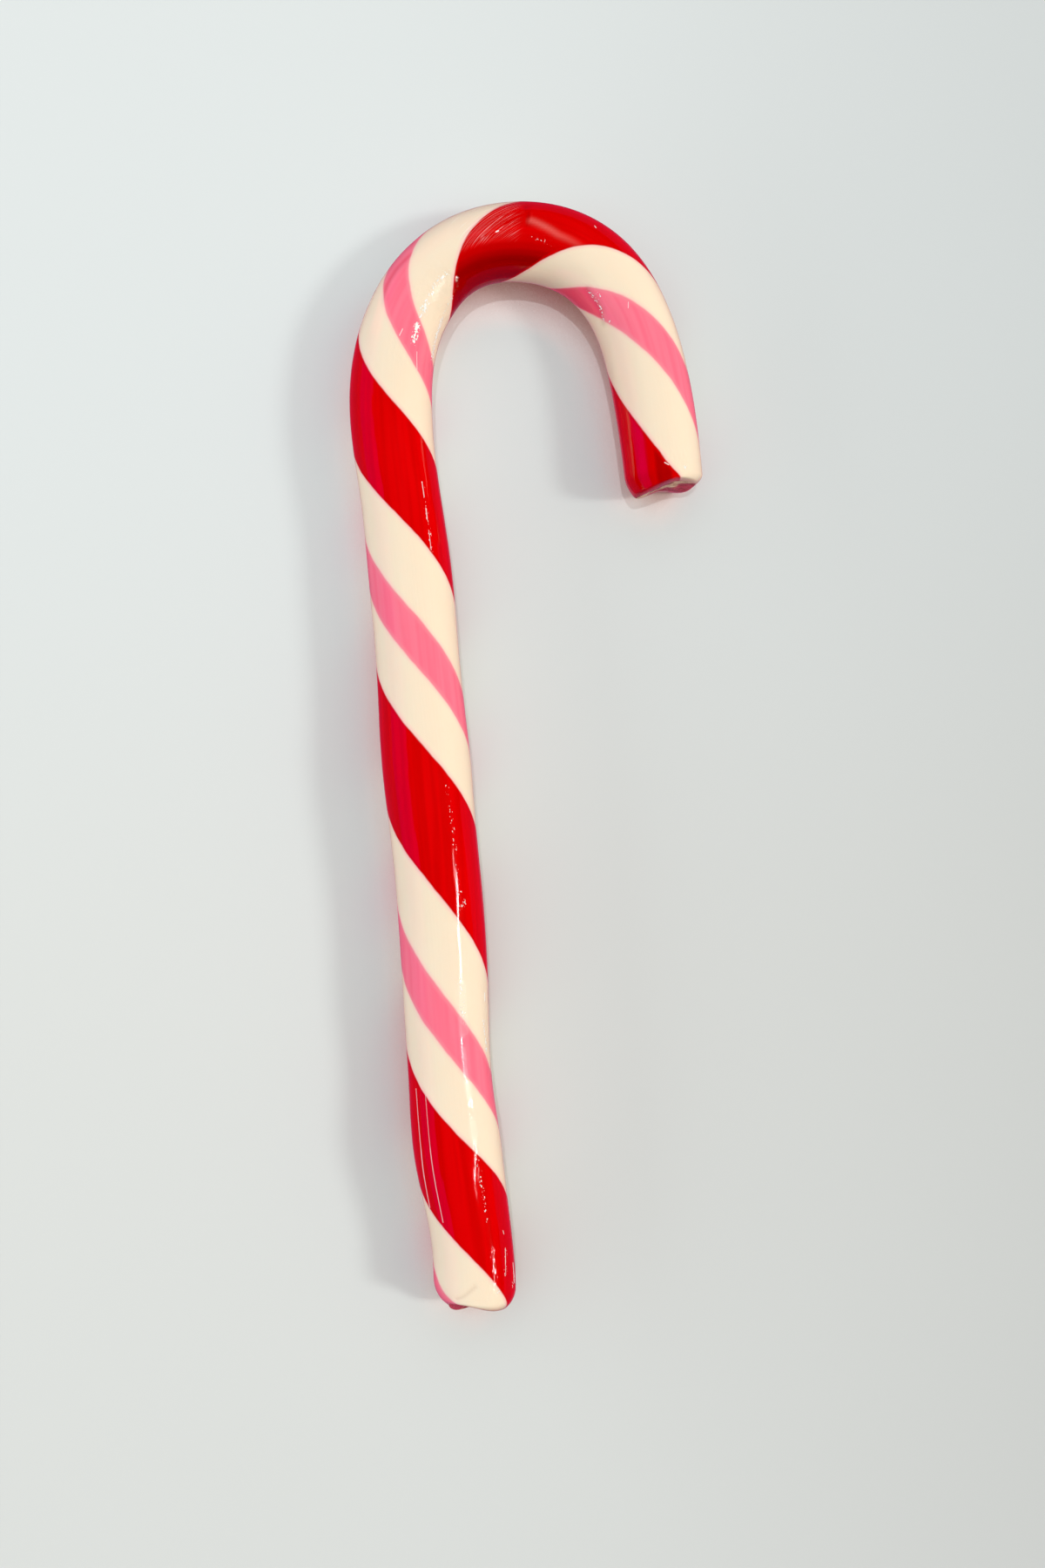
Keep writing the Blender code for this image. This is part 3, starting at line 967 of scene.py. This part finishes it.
# The sheet's own tone, and a painted glow that stands in for the light that comes back out of
# it, at the front and the back
FLOOR_TONES = (linear(205, 207, 207), linear(181, 185, 187))
FLOOR_PAINTED_GLOWS = (linear(28, 30, 29), linear(114, 118, 117))
# What the cane's gloss mirrors of the sheet: a painted crimson reflection, standing in for the
# dark red of the cane's own foot in it
FLOOR_PAINTED_REFLECTION = (0.34, 0.03, 0.12)
FLOOR_ROUGHNESS = 0.03
# Over which stretch, in metres, shade is painted on the sheet towards the right and the front,
# and how much, and over which its front's tones pass into its back's
FLOOR_RIGHT_SPAN = (-0.04, 0.16, 0.0, 0.24)
FLOOR_FRONT_SPAN = (0.12, -0.2, 0.0, 0.12)
FLOOR_BACK_SPAN = (-0.04, 0.07)
# How far the painted shade and red bounce light next to the cane reach into the sheet; its
# tints, a dark red painted shade under the cane and a painted red bounce light beside it; the
# shares of open sky over which the first passes into the second and the second into none; and
# the way in which the sheet looks for that sky
CONTACT_REACH = 0.008
CONTACT_SHADE_AND_BOUNCE_TINTS = ((0.58, 0.13, 0.09), (1.36, 1.09, 1.06))
CONTACT_SPANS = ((0.12, 0.53), (0.40, 0.80))
CONTACT_WAY = (0.40, 0.72, 0.55)
CONTACT_SAMPLES = 8
CEILING_HEIGHT = 0.9
CEILING_SIZE = (0.9, 1.3)
CEILING_RADIANCE = 2.95
CAMERA_PLACE = (-0.00452, -0.00398, 0.28265)
CAMERA_TURN = -5.076
CAMERA_LENS = 46.03
CAMERA_SENSOR = 36.0
CAMERA_NEAR = 0.01
# The key light and the warm glow of its diffuser: where they stand, in degrees, and for each
# its name, strength, width in degrees and colour
KEY_AZIMUTH = -9.0
KEY_ELEVATION = 39.0
KEY = ("key", 1.29, 9.5, (0.95, 1.0, 0.95))
KEY_HALO = ("key halo", 0.55, 50.0, (1.0, 0.7, 0.25))
# The left reflector, an upright panel whose top is this many degrees up as the cane sees it
REFLECTOR_DISTANCE = 0.6
REFLECTOR_LENGTH = 1.6
REFLECTOR_TOP = 25.0
REFLECTOR_RADIANCE = 2.7
REFLECTOR_COLOUR = (0.98, 1.08, 1.06)
# The tinted sheens that only the sugar mirrors: name, place, length and colour
SHEEN_DISTANCE = 0.55
SHEENS = (
    ("left sheen", -SHEEN_DISTANCE, 0, 1.6, (2.0, 0.0, 0.6)),
    ("back sheen", -0.30, 0.58, 0.7, (2.0, 0.1, 0.1)),
)
SHEEN_TOP = 43.0
SHEEN_RADIANCE = 0.6
# The small bright lamps that the gloss mirrors: the station and turn where each one shows, how
# far off it is, its width across and length along the rod, in millimetres, and its radiance
GLINTS = (
    (52.7, 26.0, 900.0, 360.0, 16.0, 44.0), (48.0, 26.0, 900.0, 280.0, 7.0, 40.0),
    (35.0, 25.5, 900.0, 110.0, 18.0, 6.0), (28.7, 26.0, 900.0, 130.0, 6.0, 30.0),
    (23.2, 26.0, 900.0, 60.0, 5.0, 24.0), (6.6, 32.0, 300.0, 50.0, 9.0, 60.0),
)
GLINT_COLOUR = (1.0, 0.96, 0.93)
# How many points to each side of a place tell which way the skin faces there
NORMAL_STEPS = 3
# The soft fill: its colour, and how its brightness changes towards the right, back and top
FILL_COLOUR = (0.97, 1.0, 1.03)
FILL_LEVEL = -0.34
FILL_SLOPE = (0.35, 0.42, 1.45)


def painted_contact_shade_and_bounce(nodes):
    """Painted shade under the cane and painted red bounce light beside it, which the sheet's
    colour is multiplied by, and white away from it.
    """
    way = nodes.add("ShaderNodeCombineXYZ", enumerate(CONTACT_WAY)).outputs[0]
    inputs = {"Distance": CONTACT_REACH, "Normal": way}
    open_sky = nodes.add("ShaderNodeAmbientOcclusion", inputs, samples=CONTACT_SAMPLES)
    under, beside = (nodes.span(open_sky.outputs["AO"], *span) for span in CONTACT_SPANS)
    return nodes.blend(beside, nodes.blend(under, *CONTACT_SHADE_AND_BOUNCE_TINTS), WHITE)


def floor_material():
    """A pale glossy sheet, with a painted glow for the light that sinks into it and comes back
    out, painted shade that leaves it brighter towards the left and the back, and painted shade and
    red bounce light next to the cane.
    """
    nodes = Nodes(bpy.data.materials.new("pale glossy sheet"))
    across, along, _ = nodes.split(nodes.add("ShaderNodeTexCoord").outputs["Object"])
    shade = nodes.math(
        "ADD", nodes.span(across, *FLOOR_RIGHT_SPAN), nodes.span(along, *FLOOR_FRONT_SPAN)
    )
    depth = nodes.span(along, *FLOOR_BACK_SPAN)
    contact_shade_and_bounce = painted_contact_shade_and_bounce(nodes)
    tone, painted_sheet_glow = (
        nodes.tinted(1.0, nodes.blend(shade, nodes.blend(depth, *pair), BLACK), contact_shade_and_bounce)
        for pair in (FLOOR_TONES, FLOOR_PAINTED_GLOWS)
    )
    # To glossy rays the sheet is black, with only its painted crimson reflection
    in_gloss = nodes.add("ShaderNodeLightPath").outputs["Is Glossy Ray"]
    return nodes.finish({
        "Base Color": nodes.blend(in_gloss, tone, BLACK),
        "Emission Color": nodes.blend(in_gloss, painted_sheet_glow, FLOOR_PAINTED_REFLECTION),
        "Emission Strength": 1.0, "Roughness": FLOOR_ROUGHNESS,
    })


def build_floor():
    bpy.ops.mesh.primitive_plane_add(size=FLOOR_WIDTH)
    floor = bpy.context.object
    floor.name = "floor"
    floor.data.materials.append(floor_material())
    floor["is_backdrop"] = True
    return floor


def new_lamp(name, kind, colour):
    """A lamp of a kind that Blender names, in the scene."""
    lamp = bpy.data.objects.new(name, bpy.data.lights.new(name, kind))
    lamp.data.color = colour
    bpy.context.scene.collection.objects.link(lamp)
    return lamp


def new_area_lamp(name, shape, size, radiance, colour):
    """A flat lamp that the camera doesn't see. size is its two sides or its two diameters."""
    lamp = new_lamp(name, "AREA", colour)
    lamp.data.shape = shape
    lamp.data.size, lamp.data.size_y = size
    lamp.data.energy = radiance * math.pi * size[0] * size[1]
    if shape == "ELLIPSE":
        lamp.data.energy *= math.pi / 4
    lamp.visible_camera = False
    return lamp


def mirror_only(lamp, thing):
    """Let a lamp show nowhere but in the gloss of one thing."""
    lamp.visible_diffuse = False
    reached = bpy.data.collections.new("reached by " + lamp.name)
    reached.objects.link(thing)
    lamp.light_linking.receiver_collection = reached


def build_ceiling(floor):
    """The white ceiling. Only the sheet mirrors it, and so shows the cane's reflection."""
    ceiling = new_area_lamp("ceiling", "RECTANGLE", CEILING_SIZE, CEILING_RADIANCE, WHITE)
    ceiling.location = (0, 0, CEILING_HEIGHT)
    mirror_only(ceiling, floor)


def build_key():
    """The key light and its halo, which shine from the same place. The gloss mirrors neither."""
    azimuth, elevation = math.radians(KEY_AZIMUTH), math.radians(KEY_ELEVATION)
    towards = Vector((
        math.cos(azimuth) * math.cos(elevation),
        math.sin(azimuth) * math.cos(elevation),
        math.sin(elevation),
    ))
    for name, strength, spread, colour in (KEY, KEY_HALO):
        sun = new_lamp(name, "SUN", colour)
        sun.data.energy = strength
        sun.data.angle = math.radians(spread)
        sun.rotation_euler = towards.to_track_quat("Z", "Y").to_euler()
        sun.visible_glossy = False


def build_panel(name, x, y, size, radiance, colour):
    """An upright rectangle of light that stands on the sheet and faces the cane."""
    panel = new_area_lamp(name, "RECTANGLE", size, radiance, colour)
    panel.location = (x, y, size[1] / 2)
    panel.rotation_euler = Euler((math.pi / 2, 0, math.atan2(y, x) + math.pi / 2))
    return panel


def build_panels(cane):
    """The left reflector, which the gloss doesn't mirror, and the sheens, which only it does."""
    size = (REFLECTOR_LENGTH, REFLECTOR_DISTANCE * math.tan(math.radians(REFLECTOR_TOP)))
    reflector = build_panel(
        "left reflector", -REFLECTOR_DISTANCE, 0, size, REFLECTOR_RADIANCE, REFLECTOR_COLOUR
    )
    reflector.visible_glossy = False
    height = SHEEN_DISTANCE * math.tan(math.radians(SHEEN_TOP))
    for name, x, y, length, colour in SHEENS:
        mirror_only(build_panel(name, x, y, (length, height), SHEEN_RADIANCE, colour), cane)


def mirror_at(skin, lay, station, turn):
    """The place on the skin at a station and turn, how it faces, and the way along the rod."""
    ring = int(np.argmin(np.abs(lay[:, 0, 2] - station)))
    turns = np.degrees(np.arctan2(lay[ring, :, 0], lay[ring, :, 1]))
    column = int(np.argmin(np.abs(turns - turn)))
    along = skin[ring + NORMAL_STEPS, column] - skin[ring - NORMAL_STEPS, column]
    ahead, behind = (column + NORMAL_STEPS) % POINTS_ROUND, (column - NORMAL_STEPS) % POINTS_ROUND
    normal = np.cross(skin[ring, ahead] - skin[ring, behind], along)
    return Vector(skin[ring, column]), Vector(normal).normalized(), Vector(along).normalized()


def build_glints(cane):
    """Small lamps over the cane, each where the camera's line to its place is mirrored."""
    skin, coordinates = make_skin(trace_rod())
    flat = skin.reshape(-1, 3)
    middle = (flat.max(axis=0) + flat.min(axis=0)) / 2
    skin = skin - np.array([middle[0], middle[1], 0.0])
    for station, turn, distance, width, length, radiance in GLINTS:
        place, normal, along = mirror_at(skin, coordinates["lay"], station, turn)
        seen = (Vector(CAMERA_PLACE) / MM - place).normalized()
        mirrored = -seen.reflect(normal)
        across = mirrored.cross(along).normalized()
        turned = Matrix((across, mirrored.cross(across), mirrored)).transposed()
        size = (width * MM, length * MM)
        lamp = new_area_lamp("glint", "ELLIPSE", size, radiance, GLINT_COLOUR)
        lamp.location = (place + mirrored * distance) * MM
        lamp.rotation_euler = turned.to_euler()
        mirror_only(lamp, cane)


def build_fill():
    """The soft fill, which the gloss doesn't mirror."""
    world = bpy.data.worlds.new("soft fill")
    nodes = Nodes(world, "Background")
    towards = nodes.add("ShaderNodeTexCoord").outputs["Generated"]
    slope = nodes.add("ShaderNodeVectorMath", {0: towards, 1: FILL_SLOPE}, operation="DOT_PRODUCT")
    strength = nodes.math("ADD", slope.outputs["Value"], FILL_LEVEL)
    nodes.finish({"Color": FILL_COLOUR, "Strength": nodes.math("MAXIMUM", strength, 0.0)})
    world.cycles_visibility.glossy = False
    bpy.context.scene.world = world


def build_camera():
    data = bpy.data.cameras.new("camera")
    data.lens = CAMERA_LENS
    data.sensor_width = CAMERA_SENSOR
    data.clip_start = CAMERA_NEAR
    camera = bpy.data.objects.new("camera", data)
    camera.location = CAMERA_PLACE
    camera.rotation_euler = (0, 0, math.radians(CAMERA_TURN))
    bpy.context.scene.collection.objects.link(camera)
    bpy.context.scene.camera = camera


def write_sizes():
    """Read the CAD model's box and the visual model's box into plain lists."""
    boxes = {"cad": CAD_BOX, "visual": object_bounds()}
    plain = {name: [list(corner) for corner in box] for name, box in boxes.items()}


def main():
    cane = build_cane(skin_material(), cut_material())
    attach(cane, "root")
    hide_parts(NODE)
    build_ceiling(build_floor())
    build_key()
    build_panels(cane)
    build_glints(cane)
    build_fill()
    build_camera()
    bpy.context.scene.view_settings.view_transform = "Standard"
    write_sizes()


main()
